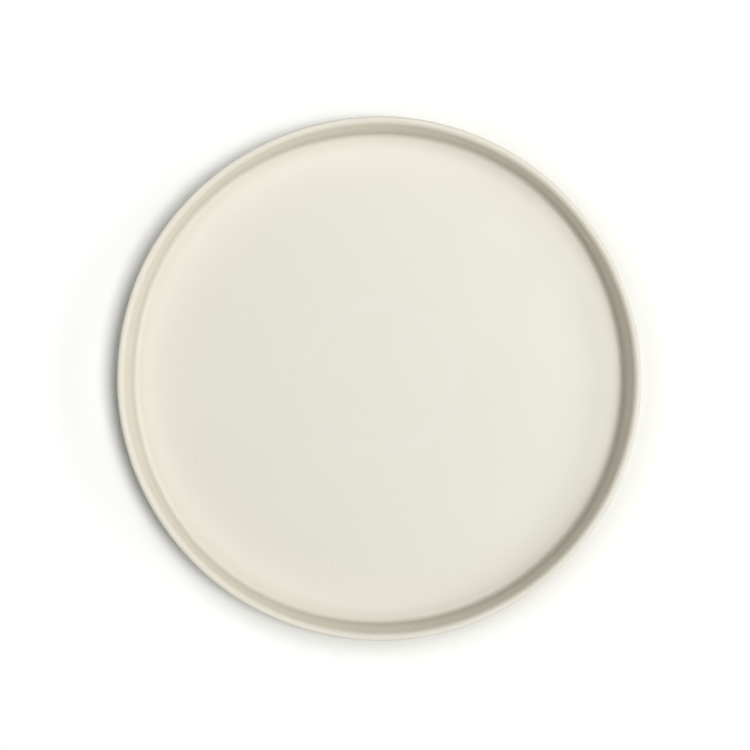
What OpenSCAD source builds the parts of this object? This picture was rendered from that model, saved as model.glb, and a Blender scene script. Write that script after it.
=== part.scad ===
// Salad plate with a flat floor, a short leaning wall, a rounded lip and a turned foot ring.
// One fired stoneware body carries two coats of glaze, which the bare foot ring keeps apart:
// one coat covers the floor, the wall and the heel, the other lines the recess inside the ring.
// Every piece is turned about Z. The origin lies on the table, below the plate's centre.

/* [Plate] */
// Diameter over the lip
plate_d = 210; // [150:1:330]
// Height from the table to the top of the lip
plate_h = 20; // [17:0.5:40]
// Thickness of the floor, with its glaze
floor_t = 5; // [3:0.1:8]
// Radius of the corner where the floor turns up into the wall
corner_r = 2; // [1:0.1:5]

/* [Wall] */
// Thickness of the wall at its lip, with its glaze
lip_t = 3.2; // [3:0.1:6]
// Radius of the lip's inner edge
lip_inner_r = 2; // [0.7:0.1:2.2]
// Radius of the lip's outer edge
lip_outer_r = 0.9; // [0.7:0.1:1.1]
// Thickness of the wall where it meets the floor, with its glaze
wall_t = 4.2; // [2.5:0.1:8]
// Lean of the inside of the wall, in degrees from upright
wall_lean = 13; // [0:0.5:20]
// Radius of the heel where the wall turns under the plate
heel_r = 5; // [2:0.1:9]

/* [Foot ring] */
// Height of the foot ring, from the table to the plate's underside
foot_h = 2.2; // [1.8:0.1:5]
// Width of the bare clay ring
foot_w = 5; // [3:0.1:12]
// Width of the flat underside between the heel and the foot ring's root
foot_setback = 10; // [2:0.5:30]
// Radius of the foot ring's two roots, where the glaze stops
foot_root_r = 1; // [0.4:0.1:1.2]
// Radius of the foot ring's two lower edges
foot_edge_r = 0.5; // [0.2:0.1:0.6]

/* [Glaze] */
// Thickness of the fired glaze
glaze_t = 0.4; // [0.2:0.05:0.6]

/* [Hidden] */

// Steps in a full turn about Z, and in a quarter turn of the profile's rounds
$fn = 180;
round_steps = 12;

clay_colour = "#cbb799";
glaze_colour = "#ebe8dc";

// The profile's points are [radius, height], and every round has one centre for clay and glaze.
floor_z = foot_h + floor_t;
lip_inner_centre = [plate_d / 2 - lip_t + lip_inner_r, plate_h - lip_inner_r];
lip_outer_centre = [plate_d / 2 - lip_outer_r, plate_h - lip_outer_r];

// Radius, at a height, of the line that stands a distance off the wall's inside, towards the centre
function wall_radius(z, off = 0) =
    let (lip = lip_inner_centre)
    lip.x - (lip_inner_r + off) / cos(wall_lean) + (z - lip.y) * tan(wall_lean);

corner_z = floor_z + corner_r;
corner_centre = [wall_radius(corner_z, corner_r), corner_z];

// The wall's outside runs from the lip to a point one wall thickness out from the floor's edge.
wall_base = [wall_radius(floor_z) + wall_t, floor_z];
base_to_lip = lip_outer_centre - wall_base;
outer_lean = 90 - atan2(base_to_lip.y, base_to_lip.x) + asin(lip_outer_r / norm(base_to_lip));

heel_z = foot_h + heel_r;
heel_drop = lip_outer_centre.y - heel_z;
heel_centre = [
    lip_outer_centre.x - (heel_r - lip_outer_r) / cos(outer_lean) - heel_drop * tan(outer_lean),
    heel_z
];

// The foot ring stands in from the heel, and glaze fills the clay's roots down to its sides.
foot_r = heel_centre.x - foot_setback - foot_root_r - glaze_t;
root_z = foot_h - foot_root_r;
root_reach = glaze_t + foot_root_r;
outer_root_centre = [foot_r + root_reach, root_z];
inner_root_centre = [foot_r - foot_w - root_reach, root_z];

function round_off(centre, radius, from, to) =
    let (steps = ceil(abs(to - from) / 90 * round_steps))
    [for (i = [0:steps]) let (a = from + (to - from) * i / steps) centre + radius * [cos(a), sin(a)]];

function backwards(path) = [for (i = [len(path) - 1:-1:0]) path[i]];

// From the centre of the floor over the wall to the foot ring's outer side, at a depth in the glaze
function upper_path(depth) = concat(
    [[0, floor_z - depth]],
    round_off(corner_centre, corner_r + depth, -90, -wall_lean),
    round_off(lip_inner_centre, lip_inner_r - depth, 180 - wall_lean, 90),
    round_off(lip_outer_centre, lip_outer_r - depth, 90, -outer_lean),
    round_off(heel_centre, heel_r - depth, -outer_lean, -90),
    round_off(outer_root_centre, foot_root_r + depth, 90, 180)
);

// From the centre of the underside to the foot ring's inner side, at a depth in the glaze
function recess_path(depth) = concat(
    [[0, foot_h + depth]],
    round_off(inner_root_centre, foot_root_r + depth, 90, 0)
);

// Round the bare foot ring, from its outer side to its inner side
function foot_path() = concat(
    round_off([foot_r - foot_edge_r, foot_edge_r], foot_edge_r, 0, -90),
    round_off([foot_r - foot_w + foot_edge_r, foot_edge_r], foot_edge_r, -90, -180)
);

module turned(outline) {
    rotate_extrude() polygon(outline);
}

module stoneware_body() {
    color(clay_colour)
        turned(concat(upper_path(glaze_t), foot_path(), backwards(recess_path(glaze_t))));
}

module glaze_coat() {
    color(glaze_colour) turned(concat(upper_path(0), backwards(upper_path(glaze_t))));
}

module recess_glaze() {
    color(glaze_colour) turned(concat(recess_path(0), backwards(recess_path(glaze_t))));
}

stoneware_body();
glaze_coat();
recess_glaze();
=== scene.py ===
"""A glazed stoneware salad plate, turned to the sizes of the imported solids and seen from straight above."""

import math

import bpy
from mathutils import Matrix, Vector


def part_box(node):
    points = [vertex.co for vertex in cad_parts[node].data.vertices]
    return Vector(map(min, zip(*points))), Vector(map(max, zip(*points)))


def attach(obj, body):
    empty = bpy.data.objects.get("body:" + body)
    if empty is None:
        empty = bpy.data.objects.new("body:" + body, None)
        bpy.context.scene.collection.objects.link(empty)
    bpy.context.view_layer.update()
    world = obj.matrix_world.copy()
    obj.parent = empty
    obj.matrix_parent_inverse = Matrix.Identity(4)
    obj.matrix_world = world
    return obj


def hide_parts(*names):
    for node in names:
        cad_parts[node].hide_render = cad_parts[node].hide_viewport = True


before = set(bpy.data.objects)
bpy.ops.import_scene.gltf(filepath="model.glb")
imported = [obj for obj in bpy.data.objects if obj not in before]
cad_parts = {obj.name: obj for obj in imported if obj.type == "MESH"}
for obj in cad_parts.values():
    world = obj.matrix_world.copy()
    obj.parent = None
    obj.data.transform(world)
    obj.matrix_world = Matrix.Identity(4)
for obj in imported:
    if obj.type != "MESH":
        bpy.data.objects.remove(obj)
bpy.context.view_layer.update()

MM = 0.001

# Sizes that the solids' boxes give, in millimetres
COAT_LOW, COAT_HIGH = (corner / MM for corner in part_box("glaze_coat"))
BODY_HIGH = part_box("stoneware_body")[1] / MM
RECESS_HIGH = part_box("recess_glaze")[1] / MM
PLATE_R = COAT_HIGH.x
PLATE_H = COAT_HIGH.z
GLAZE_T = PLATE_H - BODY_HIGH.z
ROOT_Z = COAT_LOW.z
FOOT_H = RECESS_HIGH.z - GLAZE_T
FOOT_INNER_R = RECESS_HIGH.x

# Sizes that the boxes don't show, in millimetres and degrees, as the solids have them
FLOOR_T = 5.0
CORNER_R = 2.0
LIP_T = 3.2
LIP_INNER_R = 2.0
LIP_OUTER_R = 0.9
WALL_T = 4.2
WALL_LEAN = 13.0
HEEL_R = 5.0
FOOT_W = 5.0
FOOT_EDGE_R = 0.5

# How finely the outlines are cut: millimetres along straights, degrees round arcs
SHOWN_STEP = 2.0
HIDDEN_STEP = 10.0
FOOT_STEP = 0.5
ROUND_STEP = 5.0
SMALL_ROUND_STEP = 12.0
ROLL_STEP = 30.0
STEPS_ROUND = 256

# Points of a turned form that lie nearer than this are one point, in metres
SEAM = 1e-6

# How far at most the kiln draws the rim in and down, and over what length that changes, in millimetres
RIM_DRIFT = 0.7
RIM_SAG = 0.3
WARP_LENGTH = 90.0
KILN_SEED = 29

# How far the rib presses the foot of the wall out, and how far that reaches, in millimetres. It does so
# along this many evenly crossed lines, of which one lies at this angle in degrees.
RIB_PRESS = 0.9
RIB_REACH = 9.0
RIB_LINES = 2
RIB_LINE = 48.0

# What the kiln leaves in the glaze, with the painted shade in the corner and the painted warm shade on the
# wall, in millimetres
CLOUD_W = 28.0
RING_GAP = 12.0
RING_MIDDLE_R = 30.0
RING_REACH = 18.0
POOL_AND_PAINTED_SHADE_REACH = 7.0
RUN_OFF_AND_SHADE_TINT_H = 9.0
SPECK_GAP = 14.0
SPECK_R = 0.5
SKIN_W = 1.4
SKIN_DEPTH = 0.01

# Grains in the bare clay, in millimetres, drawn coarser than real ones so that they show
GRIT_W = 0.6
GRIT_DEPTH = 0.08

# Shares: how strongly the rings show, how far the thinning shows on top of the lip, how much of a speck is
# its core, and how strongly the two reliefs show
RING_TONE = 0.1
LIP_THINNING = 0.5
SPECK_CORE = 0.25
SKIN_RELIEF = 0.4
GRIT_RELIEF = 0.6

# How the two surfaces take the light
THIN_ROUGHNESS = 0.42
THICK_ROUGHNESS = 0.5
CLAY_ROUGHNESS = 0.88
GLAZE_IOR = 1.5

# How many finer layers each noise has, how strong these are, and between which values it mostly lies
WARP_DETAIL = 1.0
CLOUD_DETAIL = 4.0
SKIN_DETAIL = 2.0
GRIT_DETAIL = 3.0
FINE_NOISE = 0.6
NOISE_LOW = 0.3
NOISE_HIGH = 0.7

# How far the rings stray from true, and how finely
RING_STRAY = 0.6
RING_STRAY_SCALE = 0.5

# A painted shadow ring lies round a point a little off the plate's middle: inside it the paper is left
# unbleached and greyer, across it the bleach comes in, and far out the paper turns as white as the room, in
# millimetres
PAINTED_SHADOW_MIDDLE = (9.8, -1.7, 0.0)
PAINTED_SHADOW_IN = PLATE_R - 4.0
PAINTED_SHADOW_OUT = PLATE_R + 18.0
SWEEP_IN = 250.0
SWEEP_OUT = 500.0

# A wave texture of scale 1 repeats after this length
WAVE_PERIOD = math.tau / 20

# Numbers of sockets that share a name with others on their node: a Mix node's two colours and vectors with
# their results, and the ends of a Map Range node's vector ranges
COLOUR_A, COLOUR_B, COLOUR_OUT = 6, 7, 2
VECTOR_A, VECTOR_B, VECTOR_OUT = 4, 5, 1
FROM_LOW, FROM_HIGH, TO_LOW, TO_HIGH = 7, 8, 9, 10

# The photograph's frame, and where the plate lies in it
FRAME_PX = 750
PLATE_PX = 526.8
CENTRE_PX = (378.8, 378.4)
CAMERA_ABOVE_LIP = 650.0
SENSOR_W = 36.0


def linear(hex_colour):
    """A colour written as sRGB hex, as linear RGBA."""
    channels = [int(hex_colour[i:i + 2], 16) / 255 for i in (1, 3, 5)]
    return [c / 12.92 if c <= 0.04045 else ((c + 0.055) / 1.055) ** 2.4 for c in channels] + [1.0]


def add(tree, kind, inputs=None, **settings):
    """Adds a node, sets its settings, and gives each named or numbered input a value or a link."""
    made = tree.nodes.new(kind)
    for name, value in settings.items():
        setattr(made, name, value)
    for key, value in (inputs or {}).items():
        if isinstance(value, bpy.types.NodeSocket):
            tree.links.new(value, made.inputs[key])
        else:
            made.inputs[key].default_value = value
    return made


# Profile of the plate: points are (radius, height) in millimetres


def round_off(centre, radius, start, end, step=ROUND_STEP):
    """Points on an arc, from one angle to another in degrees."""
    steps = max(1, math.ceil(abs(end - start) / step))
    angles = [math.radians(start + (end - start) * i / steps) for i in range(steps + 1)]
    return [(centre[0] + radius * math.cos(a), centre[1] + radius * math.sin(a)) for a in angles]


def joined(paths, spacing):
    """One path through several, with the straight stretches between them cut into even steps."""
    path = list(paths[0])
    for following in paths[1:]:
        (r0, z0), (r1, z1) = path[-1], following[0]
        steps = max(1, math.ceil(math.hypot(r1 - r0, z1 - z0) / spacing))
        path += [(r0 + (r1 - r0) * i / steps, z0 + (z1 - z0) * i / steps) for i in range(1, steps)]
        path += following
    return path


LEAN = math.radians(WALL_LEAN)
FLOOR_Z = FOOT_H + FLOOR_T
LIP_OUTER_CENTRE = Vector((PLATE_R - LIP_OUTER_R, PLATE_H - LIP_OUTER_R))
LIP_INNER_CENTRE = Vector((PLATE_R - LIP_T + LIP_INNER_R, PLATE_H - LIP_INNER_R))


def wall_radius(z, off=0.0):
    """Radius, at a height, of the line that stands a distance off the wall's inside."""
    lip = LIP_INNER_CENTRE
    return lip.x - (LIP_INNER_R + off) / math.cos(LEAN) + (z - lip.y) * math.tan(LEAN)


CORNER_Z = FLOOR_Z + CORNER_R
CORNER_CENTRE = (wall_radius(CORNER_Z, CORNER_R), CORNER_Z)
BASE_TO_LIP = LIP_OUTER_CENTRE - Vector((wall_radius(FLOOR_Z) + WALL_T, FLOOR_Z))
OUTER_LEAN = math.atan2(*BASE_TO_LIP) + math.asin(LIP_OUTER_R / BASE_TO_LIP.length)
OUTER_LEAN_DEG = math.degrees(OUTER_LEAN)
HEEL_Z = FOOT_H + HEEL_R
HEEL_DROP = LIP_OUTER_CENTRE.y - HEEL_Z
HEEL_IN = (HEEL_R - LIP_OUTER_R) / math.cos(OUTER_LEAN) + HEEL_DROP * math.tan(OUTER_LEAN)
HEEL_CENTRE = (LIP_OUTER_CENTRE.x - HEEL_IN, HEEL_Z)
ROOT_R = FOOT_H - ROOT_Z
FOOT_R = FOOT_INNER_R + FOOT_W
OUTER_ROOT_CENTRE = (FOOT_R + GLAZE_T + ROOT_R, ROOT_Z)
INNER_ROOT_CENTRE = (FOOT_INNER_R - GLAZE_T - ROOT_R, ROOT_Z)


def upper_path(depth, spacing):
    """From the floor's centre over the wall to the foot ring's outer side, at a depth in the glaze."""
    return joined(
        [
            [(0.0, FLOOR_Z - depth)],
            round_off(CORNER_CENTRE, CORNER_R + depth, -90, -WALL_LEAN),
            round_off(LIP_INNER_CENTRE, LIP_INNER_R - depth, 180 - WALL_LEAN, 90),
            round_off(LIP_OUTER_CENTRE, LIP_OUTER_R - depth, 90, -OUTER_LEAN_DEG),
            round_off(HEEL_CENTRE, HEEL_R - depth, -OUTER_LEAN_DEG, -90),
            round_off(OUTER_ROOT_CENTRE, ROOT_R + depth, 90, 180, SMALL_ROUND_STEP),
        ],
        spacing,
    )


def recess_path(depth, spacing):
    """From the underside's centre to the foot ring's inner side, at a depth in the glaze."""
    return joined(
        [[(0.0, FOOT_H + depth)], round_off(INNER_ROOT_CENTRE, ROOT_R + depth, 90, 0, SMALL_ROUND_STEP)],
        spacing,
    )


def coat_outline():
    """The upper coat: its surface, the rolled edge where it was wiped off the foot, and its clay side."""
    edge = round_off((FOOT_R + GLAZE_T / 2, ROOT_Z), GLAZE_T / 2, 0, -180, ROLL_STEP)
    return upper_path(0.0, SHOWN_STEP) + edge[1:-1] + upper_path(GLAZE_T, HIDDEN_STEP)[::-1]


def recess_outline():
    """The coat in the recess, with the same rolled edge, taken the other way round."""
    edge = round_off((FOOT_INNER_R - GLAZE_T / 2, ROOT_Z), GLAZE_T / 2, 180, 360, ROLL_STEP)
    return (recess_path(0.0, SHOWN_STEP) + edge[1:-1] + recess_path(GLAZE_T, HIDDEN_STEP)[::-1])[::-1]


def body_outline():
    """The clay: under the upper coat, round the bare foot and under the coat in the recess."""
    foot = joined(
        [
            round_off((FOOT_R - FOOT_EDGE_R, FOOT_EDGE_R), FOOT_EDGE_R, 0, -90, SMALL_ROUND_STEP),
            round_off((FOOT_INNER_R + FOOT_EDGE_R, FOOT_EDGE_R), FOOT_EDGE_R, -90, -180, SMALL_ROUND_STEP),
        ],
        FOOT_STEP,
    )
    return joined(
        [upper_path(GLAZE_T, HIDDEN_STEP), foot, recess_path(GLAZE_T, HIDDEN_STEP)[::-1]],
        FOOT_STEP,
    )


# The wheel: one Geometry Nodes tree turns every outline about Z


def wheel_tree():
    """Turns an outline about Z, with its wall pressed out by a rib and its rim warped, inwards and down."""
    tree = bpy.data.node_groups.new("turned_on_the_wheel", "GeometryNodeTree")
    sockets = {}
    for name, kind in (
        ("Outline", "NodeSocketGeometry"),
        ("Steps round", "NodeSocketInt"),
        ("Wall foot", "NodeSocketVector"),
        ("Rib press", "NodeSocketFloat"),
        ("Rib reach", "NodeSocketFloat"),
        ("Rib lines", "NodeSocketFloat"),
        ("Rib line", "NodeSocketFloat"),
        ("Foot height", "NodeSocketFloat"),
        ("Lip height", "NodeSocketFloat"),
        ("Most warped", "NodeSocketVector"),
        ("Warp length", "NodeSocketFloat"),
        ("Seed", "NodeSocketFloat"),
        ("Finish", "NodeSocketMaterial"),
    ):
        sockets[name] = tree.interface.new_socket(name, in_out="INPUT", socket_type=kind).identifier
    tree.interface.new_socket("Turned form", in_out="OUTPUT", socket_type="NodeSocketGeometry")
    given = add(tree, "NodeGroupInput").outputs

    # A grid holds one column for each point of the outline and one row for each step round.
    points = add(tree, "GeometryNodeAttributeDomainSize", {0: given["Outline"]}).outputs["Point Count"]
    rows = add(tree, "FunctionNodeIntegerMath", {0: given["Steps round"], 1: 1}, operation="ADD").outputs[0]
    grid = add(tree, "GeometryNodeMeshGrid", {"Vertices X": points, "Vertices Y": rows}).outputs["Mesh"]
    index = add(tree, "GeometryNodeInputIndex").outputs[0]
    column = add(tree, "FunctionNodeIntegerMath", {0: index, 1: rows}, operation="DIVIDE_FLOOR").outputs[0]
    row = add(tree, "FunctionNodeIntegerMath", {0: index, 1: rows}, operation="MODULO").outputs[0]
    angle = add(
        tree, "ShaderNodeMapRange", {"Value": row, "From Max": given["Steps round"], "To Max": math.tau}
    ).outputs["Result"]
    position = add(tree, "GeometryNodeInputPosition").outputs[0]
    profile = add(
        tree,
        "GeometryNodeSampleIndex",
        {"Geometry": given["Outline"], "Value": position, "Index": column},
        data_type="FLOAT_VECTOR",
        domain="POINT",
    ).outputs["Value"]

    # The rib that shaped the corner pressed the foot of the wall out. A squared cosine makes that full
    # along its lines and nothing midway between them.
    off_foot = add(
        tree, "ShaderNodeVectorMath", {0: profile, 1: given["Wall foot"]}, operation="DISTANCE"
    ).outputs["Value"]
    press = add(
        tree,
        "ShaderNodeMapRange",
        {"Value": off_foot, "From Max": given["Rib reach"], "To Min": given["Rib press"], "To Max": 0.0},
    ).outputs["Result"]
    off_line = add(
        tree, "ShaderNodeMath", {0: angle, 1: given["Rib line"]}, operation="SUBTRACT"
    ).outputs[0]
    turns = add(
        tree, "ShaderNodeMath", {0: off_line, 1: given["Rib lines"]}, operation="MULTIPLY"
    ).outputs[0]
    facing = add(tree, "ShaderNodeMath", {0: turns}, operation="COSINE").outputs[0]
    on_line = add(tree, "ShaderNodeMath", {0: facing, 1: 2.0}, operation="POWER").outputs[0]
    pressed = add(tree, "ShaderNodeMath", {0: press, 1: on_line}, operation="MULTIPLY").outputs[0]
    out = add(tree, "ShaderNodeCombineXYZ", {"X": pressed}).outputs[0]
    profile = add(tree, "ShaderNodeVectorMath", {0: profile, 1: out}, operation="ADD").outputs[0]
    swung = add(
        tree, "ShaderNodeVectorRotate", {"Vector": profile, "Angle": angle}, rotation_type="Z_AXIS"
    ).outputs[0]

    # The free rim drifts in the kiln, more with its height, while the foot stays true on the shelf.
    spread = add(tree, "ShaderNodeMath", {0: 1.0, 1: given["Warp length"]}, operation="DIVIDE").outputs[0]
    drift = add(
        tree,
        "ShaderNodeTexNoise",
        {"Vector": swung, "W": given["Seed"], "Scale": spread, "Detail": WARP_DETAIL},
        noise_dimensions="4D",
    ).outputs["Color"]
    shrink = add(
        tree,
        "ShaderNodeMapRange",
        {
            "Vector": drift,
            FROM_LOW: (NOISE_LOW,) * 3,
            FROM_HIGH: (NOISE_HIGH,) * 3,
            TO_LOW: (1.0,) * 3,
            TO_HIGH: given["Most warped"],
        },
        data_type="FLOAT_VECTOR",
    ).outputs["Vector"]
    warped = add(tree, "ShaderNodeVectorMath", {0: swung, 1: shrink}, operation="MULTIPLY").outputs[0]
    height = add(tree, "ShaderNodeSeparateXYZ", {0: swung}).outputs["Z"]
    rise = add(
        tree,
        "ShaderNodeMapRange",
        {"Value": height, "From Min": given["Foot height"], "From Max": given["Lip height"]},
    ).outputs["Result"]
    settled = add(
        tree,
        "ShaderNodeMix",
        {"Factor": rise, VECTOR_A: swung, VECTOR_B: warped},
        data_type="VECTOR",
    ).outputs[VECTOR_OUT]

    shaped = add(tree, "GeometryNodeSetPosition", {"Geometry": grid, "Position": settled}).outputs[0]
    closed = add(tree, "GeometryNodeMergeByDistance", {"Geometry": shaped, "Distance": SEAM}).outputs[0]
    smooth = add(tree, "GeometryNodeSetShadeSmooth", {"Geometry": closed}).outputs[0]
    real = add(tree, "GeometryNodeRealizeInstances", {"Geometry": smooth}).outputs[0]
    finished = add(
        tree, "GeometryNodeSetMaterial", {"Geometry": real, "Material": given["Finish"]}
    ).outputs[0]
    add(tree, "NodeGroupOutput", {0: finished})
    return tree, sockets


def turned_piece(name, outline, material, wheel):
    """A closed mesh turned from an outline, at the origin, with no modifier left on it."""
    tree, sockets = wheel
    mesh = bpy.data.meshes.new(name)
    points = [(r * MM, 0.0, z * MM) for r, z in outline]
    mesh.from_pydata(points, [(i, i + 1) for i in range(len(points) - 1)], [])
    piece = bpy.data.objects.new(name, mesh)
    bpy.context.scene.collection.objects.link(piece)
    modifier = piece.modifiers.new("wheel", "NODES")
    modifier.node_group = tree
    least = 1 - RIM_DRIFT / PLATE_R
    for socket, value in {
        "Steps round": STEPS_ROUND,
        "Wall foot": Vector((wall_radius(CORNER_Z), 0.0, CORNER_Z)) * MM,
        "Rib press": RIB_PRESS * MM,
        "Rib reach": RIB_REACH * MM,
        "Rib lines": float(RIB_LINES),
        "Rib line": math.radians(RIB_LINE),
        "Foot height": FOOT_H * MM,
        "Lip height": PLATE_H * MM,
        "Most warped": (least, least, 1 - RIM_SAG / PLATE_H),
        "Warp length": WARP_LENGTH * MM,
        "Seed": float(KILN_SEED),
        "Finish": material,
    }.items():
        modifier[sockets[socket]] = value
    graph = bpy.context.evaluated_depsgraph_get()
    piece.data = bpy.data.meshes.new_from_object(piece.evaluated_get(graph), depsgraph=graph)
    piece.modifiers.clear()
    # The grid brings an empty material slot of its own.
    piece.data.materials.pop(index=0)
    bpy.data.meshes.remove(mesh)
    return piece


# Materials


def empty_material(name):
    """A material with an empty node tree."""
    material = bpy.data.materials.new(name)
    material.use_nodes = True
    material.node_tree.nodes.clear()
    return material, material.node_tree


def satin_glaze():
    """Off-white stoneware glaze, fired to a satin: opaque and creamy, with a broad soft sheen."""
    material, tree = empty_material("satin_stoneware_glaze")
    coordinates = add(tree, "ShaderNodeTexCoord").outputs
    place = coordinates["Object"]
    at = add(tree, "ShaderNodeSeparateXYZ", {0: place}).outputs
    flat = add(tree, "ShaderNodeCombineXYZ", {"X": at["X"], "Y": at["Y"]}).outputs[0]
    radius = add(tree, "ShaderNodeVectorMath", {0: flat}, operation="LENGTH").outputs["Value"]
    section = add(tree, "ShaderNodeCombineXYZ", {"X": radius, "Y": at["Z"]}).outputs[0]

    # The melt gathers and thins in clouds, which shift the cream a little.
    clouds = add(
        tree,
        "ShaderNodeTexNoise",
        {"Vector": place, "Scale": 1 / (CLOUD_W * MM), "Detail": CLOUD_DETAIL, "Roughness": FINE_NOISE},
    ).outputs["Fac"]
    cream = add(
        tree,
        "ShaderNodeMix",
        {"Factor": clouds, COLOUR_A: linear("#e8e5d7"), COLOUR_B: linear("#ece9dc")},
        data_type="RGBA",
    ).outputs[COLOUR_OUT]

    # The throwing rings under it leave fainter rings of thick and thin in the middle of the floor.
    rings = add(
        tree,
        "ShaderNodeTexWave",
        {
            "Vector": place,
            "Scale": WAVE_PERIOD / (RING_GAP * MM),
            "Distortion": RING_STRAY,
            "Detail Scale": RING_STRAY_SCALE,
        },
        wave_type="RINGS",
        rings_direction="Z",
    ).outputs["Fac"]
    off_rings = add(
        tree,
        "ShaderNodeVectorMath",
        {0: section, 1: (RING_MIDDLE_R * MM, FLOOR_Z * MM, 0.0)},
        operation="DISTANCE",
    ).outputs["Value"]
    ringed = add(
        tree,
        "ShaderNodeMapRange",
        {"Value": off_rings, "From Max": RING_REACH * MM, "To Min": RING_TONE, "To Max": 0.0},
    ).outputs["Result"]
    ring_tone = add(tree, "ShaderNodeMath", {0: rings, 1: ringed}, operation="MULTIPLY").outputs[0]
    cream = add(
        tree,
        "ShaderNodeMix",
        {"Factor": ring_tone, COLOUR_A: cream, COLOUR_B: linear("#f6f4ea")},
        data_type="RGBA",
    ).outputs[COLOUR_OUT]

    # It runs off the wall before it sets, so buff clay warms the thinner coat there, and less on the lip. The
    # warmer tint on the steep wall is also painted shade: it gives the wall the warmer colour of its shadow.
    raised = add(
        tree,
        "ShaderNodeMapRange",
        {"Value": at["Z"], "From Min": FLOOR_Z * MM, "From Max": (FLOOR_Z + RUN_OFF_AND_SHADE_TINT_H) * MM},
    ).outputs["Result"]
    facing_up = add(tree, "ShaderNodeSeparateXYZ", {0: coordinates["Normal"]}).outputs["Z"]
    steep = add(
        tree,
        "ShaderNodeMapRange",
        {"Value": facing_up, "From Min": 1.0, "From Max": math.sin(LEAN), "To Min": LIP_THINNING},
    ).outputs["Result"]
    thinning_and_painted_shade_tint = add(tree, "ShaderNodeMath", {0: raised, 1: steep}, operation="MULTIPLY").outputs[0]
    cream = add(
        tree,
        "ShaderNodeMix",
        {"Factor": thinning_and_painted_shade_tint, COLOUR_A: cream, COLOUR_B: linear("#ece6d6")},
        data_type="RGBA",
    ).outputs[COLOUR_OUT]

    # What runs off gathers along the corner, where the coat is thickest. The darker tone there is partly
    # pooled glaze and partly painted shade in the crease.
    corner = (wall_radius(FLOOR_Z) * MM, (FLOOR_Z + CORNER_R / 2) * MM, 0.0)
    off_corner = add(
        tree, "ShaderNodeVectorMath", {0: section, 1: corner}, operation="DISTANCE"
    ).outputs["Value"]
    pooled_glaze_and_painted_shade = add(
        tree,
        "ShaderNodeMapRange",
        {"Value": off_corner, "From Max": POOL_AND_PAINTED_SHADE_REACH * MM, "To Min": 1.0, "To Max": 0.0},
        interpolation_type="SMOOTHSTEP",
    ).outputs["Result"]
    cream = add(
        tree,
        "ShaderNodeMix",
        {"Factor": pooled_glaze_and_painted_shade, COLOUR_A: cream, COLOUR_B: linear("#dbd6c7")},
        data_type="RGBA",
    ).outputs[COLOUR_OUT]

    # Grains of iron in the clay burn through here and there as small soft specks.
    grains = add(tree, "ShaderNodeTexVoronoi", {"Vector": place, "Scale": 1 / (SPECK_GAP * MM)}).outputs
    speck = add(
        tree,
        "ShaderNodeMapRange",
        {
            "Value": grains["Distance"],
            "From Min": SPECK_R / SPECK_GAP,
            "From Max": SPECK_R / SPECK_GAP * SPECK_CORE,
        },
        interpolation_type="SMOOTHSTEP",
    ).outputs["Result"]
    burnt = add(tree, "ShaderNodeSeparateXYZ", {0: grains["Color"]}).outputs["X"]
    speck_tone = add(tree, "ShaderNodeMath", {0: speck, 1: burnt}, operation="MULTIPLY").outputs[0]
    cream = add(
        tree,
        "ShaderNodeMix",
        {"Factor": speck_tone, COLOUR_A: cream, COLOUR_B: linear("#d0c9b8")},
        data_type="RGBA",
    ).outputs[COLOUR_OUT]

    # The satin is a little duller where the melt lay thick, over a skin as fine as eggshell.
    roughness = add(
        tree,
        "ShaderNodeMapRange",
        {
            "Value": clouds,
            "From Min": NOISE_LOW,
            "From Max": NOISE_HIGH,
            "To Min": THIN_ROUGHNESS,
            "To Max": THICK_ROUGHNESS,
        },
    ).outputs["Result"]
    skin = add(
        tree,
        "ShaderNodeTexNoise",
        {"Vector": place, "Scale": 1 / (SKIN_W * MM), "Detail": SKIN_DETAIL},
    ).outputs["Fac"]
    relief = add(
        tree, "ShaderNodeBump", {"Height": skin, "Strength": SKIN_RELIEF, "Distance": SKIN_DEPTH * MM}
    ).outputs[0]

    shader = add(
        tree,
        "ShaderNodeBsdfPrincipled",
        {"Base Color": cream, "Roughness": roughness, "IOR": GLAZE_IOR, "Normal": relief},
    )
    add(tree, "ShaderNodeOutputMaterial", {"Surface": shader.outputs[0]})
    return material


def bare_stoneware():
    """Buff stoneware left bare and wiped with a sponge: dry, matte and faintly gritty."""
    material, tree = empty_material("bare_sponged_stoneware")
    place = add(tree, "ShaderNodeTexCoord").outputs["Object"]
    grit = add(
        tree,
        "ShaderNodeTexNoise",
        {"Vector": place, "Scale": 1 / (GRIT_W * MM), "Detail": GRIT_DETAIL, "Roughness": FINE_NOISE},
    ).outputs["Fac"]
    clay = add(
        tree,
        "ShaderNodeMix",
        {"Factor": grit, COLOUR_A: linear("#bfa982"), COLOUR_B: linear("#d3c3a4")},
        data_type="RGBA",
    ).outputs[COLOUR_OUT]
    relief = add(
        tree, "ShaderNodeBump", {"Height": grit, "Strength": GRIT_RELIEF, "Distance": GRIT_DEPTH * MM}
    ).outputs[0]
    shader = add(
        tree,
        "ShaderNodeBsdfPrincipled",
        {"Base Color": clay, "Roughness": CLAY_ROUGHNESS, "Normal": relief},
    )
    add(tree, "ShaderNodeOutputMaterial", {"Surface": shader.outputs[0]})
    return material


def showing(tree):
    """1 on the rays that show a background: straight to the camera, or by way of gloss or glass."""
    ray = add(tree, "ShaderNodeLightPath").outputs
    seen = add(
        tree, "ShaderNodeMath", {0: ray["Is Camera Ray"], 1: ray["Is Glossy Ray"]}, operation="MAXIMUM"
    ).outputs[0]
    return add(
        tree, "ShaderNodeMath", {0: seen, 1: ray["Is Transmission Ray"]}, operation="MAXIMUM"
    ).outputs[0]


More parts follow.
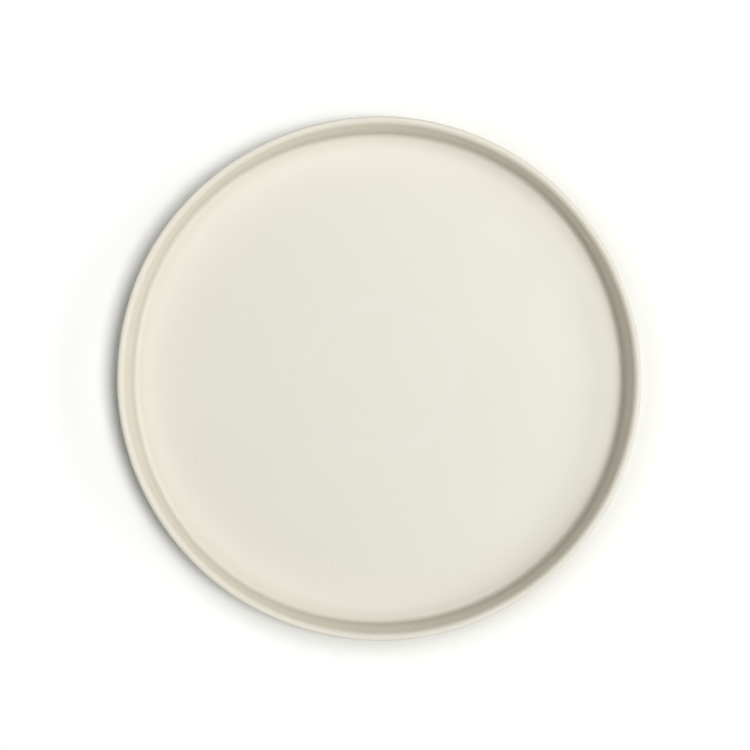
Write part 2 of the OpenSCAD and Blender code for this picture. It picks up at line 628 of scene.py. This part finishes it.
def white_paper():
    """The sheet that the plate stands on: matte white, with a painted soft shadow ring round the plate, and a
    plain white background away from it.
    """
    material, tree = empty_material("white_paper_sweep")
    place = add(tree, "ShaderNodeTexCoord").outputs["Object"]
    middle = Vector(PAINTED_SHADOW_MIDDLE) * MM
    from_middle = add(
        tree, "ShaderNodeVectorMath", {0: place, 1: middle}, operation="DISTANCE"
    ).outputs["Value"]
    seen = showing(tree)

    # Round the plate the sheet is left unbleached, which paints a soft grey shadow ring round it; it also
    # keeps the cast shadow, and the bleach comes in within a short way.
    clear = add(
        tree,
        "ShaderNodeMapRange",
        {"Value": from_middle, "From Min": PAINTED_SHADOW_IN * MM, "From Max": PAINTED_SHADOW_OUT * MM},
    ).outputs["Result"]
    seen_past_painted_shadow = add(tree, "ShaderNodeMath", {0: seen, 1: clear}, operation="MULTIPLY").outputs[0]
    paper = add(tree, "ShaderNodeBsdfDiffuse", {"Color": linear("#f3f3ef")}).outputs[0]
    bleach = add(tree, "ShaderNodeBsdfDiffuse", {"Color": linear("#ababae")}).outputs[0]
    bleached = add(tree, "ShaderNodeAddShader", {0: paper, 1: bleach}).outputs[0]
    paper_with_painted_shadow = add(tree, "ShaderNodeMixShader", {0: seen_past_painted_shadow, 1: paper, 2: bleached}).outputs[0]

    # Further out, where the lamps no longer reach, it is as white as the room.
    away = add(
        tree,
        "ShaderNodeMapRange",
        {"Value": from_middle, "From Min": SWEEP_IN * MM, "From Max": SWEEP_OUT * MM},
    ).outputs["Result"]
    seen_away = add(tree, "ShaderNodeMath", {0: seen, 1: away}, operation="MULTIPLY").outputs[0]
    white = add(tree, "ShaderNodeEmission", {"Color": linear("#ffffff")}).outputs[0]
    sheet = add(tree, "ShaderNodeMixShader", {0: seen_away, 1: paper_with_painted_shadow, 2: white}).outputs[0]
    add(tree, "ShaderNodeOutputMaterial", {"Surface": sheet})
    return material


# Pieces

wheel = wheel_tree()
glaze = satin_glaze()
clay = bare_stoneware()

for node_name, outline, material, slot in (
    ("stoneware_body", body_outline(), clay, "stoneware"),
    ("glaze_coat", coat_outline(), glaze, "satin_glaze"),
    ("recess_glaze", recess_outline(), glaze, "satin_glaze"),
):
    piece = turned_piece("turned_" + node_name, outline, material, wheel)
    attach(piece, "root")
    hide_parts(node_name)

# Stage, light and camera

# Half the paper's width, and how far it lies under the foot to keep clear of it, in metres
PAPER_HALF_W = 3.0
PAPER_DROP = 0.0002
paper_mesh = bpy.data.meshes.new("paper_sweep")
paper_mesh.from_pydata(
    [(x * PAPER_HALF_W, y * PAPER_HALF_W, -PAPER_DROP) for x, y in ((-1, -1), (1, -1), (1, 1), (-1, 1))],
    [],
    [(0, 1, 2, 3)],
)
paper_mesh.materials.append(white_paper())
paper = bpy.data.objects.new("paper_sweep", paper_mesh)
bpy.context.scene.collection.objects.link(paper)

# Room light reaches the plate weakly from everywhere; the room itself looks white.
ROOM_LEVEL = 0.01
world = bpy.data.worlds.new("white_room")
bpy.context.scene.world = world
world.use_nodes = True
room = world.node_tree
room.nodes.clear()
level = add(room, "ShaderNodeMapRange", {"Value": showing(room), "To Min": ROOM_LEVEL, "To Max": 1.0})
sky = add(room, "ShaderNodeBackground", {"Color": linear("#ffffff"), "Strength": level.outputs["Result"]})
add(room, "ShaderNodeOutputWorld", {"Surface": sky.outputs[0]})

# Softboxes: azimuth and elevation in degrees, distance, width and height in metres, and how bright each
# alone makes a white floor. Two hang high, on the right and behind, and four weaker ones fill in from
# lower down.
SOFTBOXES = (
    ("right_softbox", -10, 71, 3.0, 0.9, 0.9, 0.405),
    ("rear_softbox", 60, 78, 0.9, 0.27, 0.27, 0.172),
    ("rear_panel", 70, 57, 1.2, 0.8, 0.55, 0.108),
    ("front_panel", -70, 45, 2.5, 1.3, 1.0, 0.061),
    ("low_panel", -2, 32, 2.5, 2.5, 0.8, 0.136),
    ("left_fill", 240, 20, 2.0, 1.5, 0.5, 0.021),
)
for name, azimuth, elevation, distance, width, height, floor_level in SOFTBOXES:
    turn, tilt = math.radians(azimuth), math.radians(elevation)
    sideways = math.cos(tilt)
    place = Vector((math.cos(turn) * sideways, math.sin(turn) * sideways, math.sin(tilt))) * distance
    lamp_data = bpy.data.lights.new(name, "AREA")
    lamp_data.shape = "RECTANGLE"
    lamp_data.size = width
    lamp_data.size_y = height
    lamp_data.energy = floor_level * (math.pi * distance) ** 2 / math.sin(tilt)
    lamp = bpy.data.objects.new(name, lamp_data)
    bpy.context.scene.collection.objects.link(lamp)
    lamp.location = place
    lamp.rotation_euler = (-place).to_track_quat("-Z", "Y").to_euler()

# The camera looks straight down, with the plate as wide and as far off centre as in the photograph.
mm_per_px = 2 * PLATE_R / PLATE_PX
frame_w = FRAME_PX * mm_per_px
camera_data = bpy.data.cameras.new("overhead")
camera_data.sensor_width = SENSOR_W
camera_data.lens = SENSOR_W * CAMERA_ABOVE_LIP / frame_w
camera = bpy.data.objects.new("overhead", camera_data)
bpy.context.scene.collection.objects.link(camera)
off_x, off_y = (FRAME_PX / 2 - px for px in CENTRE_PX)
camera.location = Vector((off_x * mm_per_px, -off_y * mm_per_px, PLATE_H + CAMERA_ABOVE_LIP)) * MM
bpy.context.scene.camera = camera
bpy.context.scene.view_settings.view_transform = "Standard"
